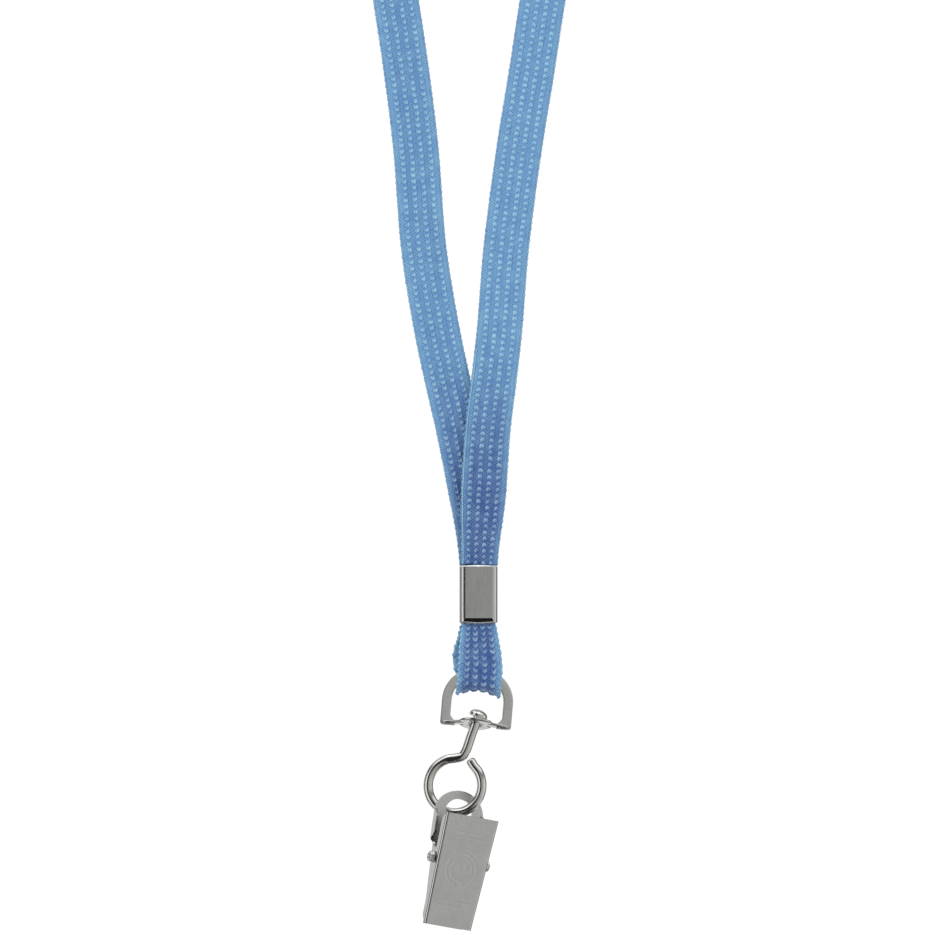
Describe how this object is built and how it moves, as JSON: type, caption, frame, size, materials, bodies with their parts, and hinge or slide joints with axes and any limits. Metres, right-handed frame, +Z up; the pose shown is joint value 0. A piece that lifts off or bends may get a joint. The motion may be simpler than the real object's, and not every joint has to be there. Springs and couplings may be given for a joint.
{
  "type": "lanyard badge holder",
  "caption": "Soft flat neck lanyard with crimped ends, a swivel bail, an open wire hook and a sprung clip that grips a badge's strap.",
  "frame": {"origin": "middle of the strap's thickness at the nape of the wearer's neck", "axes": "+Z up, front towards -Y, away from the wearer's chest; the hardware hangs 100 mm in front of the origin"},
  "size_m": [0.1144, 0.116, 0.4253],
  "materials": {
    "polyester_knit": "light blue tubular polyester knit",
    "satin_nickel": "satin nickel plate on sheet steel",
    "bright_nickel": "bright nickel plate on steel wire",
    "spring_steel": "drawn spring wire"
  },
  "bodies": {
    "strap": {"neck_strap": "polyester_knit", "crimp_sleeve": "satin_nickel", "strap_in_crimp": "polyester_knit", "strap_bail_loop": "polyester_knit"},
    "bail": {"swivel_bail": "satin_nickel"},
    "hook": {"swivel_hook": "bright_nickel"},
    "clip": {"clip_back_jaw": "satin_nickel", "hinge_pin": "bright_nickel", "torsion_spring": "spring_steel"},
    "front_jaw": {"clip_front_jaw": "satin_nickel"}
  },
  "joints": [
    {"name": "bail_swing", "type": "hinge", "parent": "strap", "child": "bail", "pos_m": [0.00025, -0.1, -0.36865], "axis": [0.9962, 0, -0.0872], "range_deg": [-50, 90]},
    {"name": "hook_swivel", "type": "hinge", "parent": "bail", "child": "hook", "pos_m": [-0.00059, -0.10351, -0.37827], "axis": [0.3345, 0.0275, 0.942], "continuous": true},
    {"name": "clip_swing", "type": "hinge", "parent": "hook", "child": "clip", "pos_m": [-0.00485, -0.10395, -0.39109], "axis": [0.2079, 0.9728, -0.1022], "range_deg": [-75, 75]},
    {"name": "jaw_open", "type": "hinge", "parent": "clip", "child": "front_jaw", "pos_m": [-0.00412, -0.10862, -0.40647], "axis": [-0.8868, -0.4226, 0.1869], "range_deg": [0, 22], "stiffness_Nm_per_rad": 0.02, "springref_deg": -28.65, "deforming": ["torsion_spring"]}
  ]
}
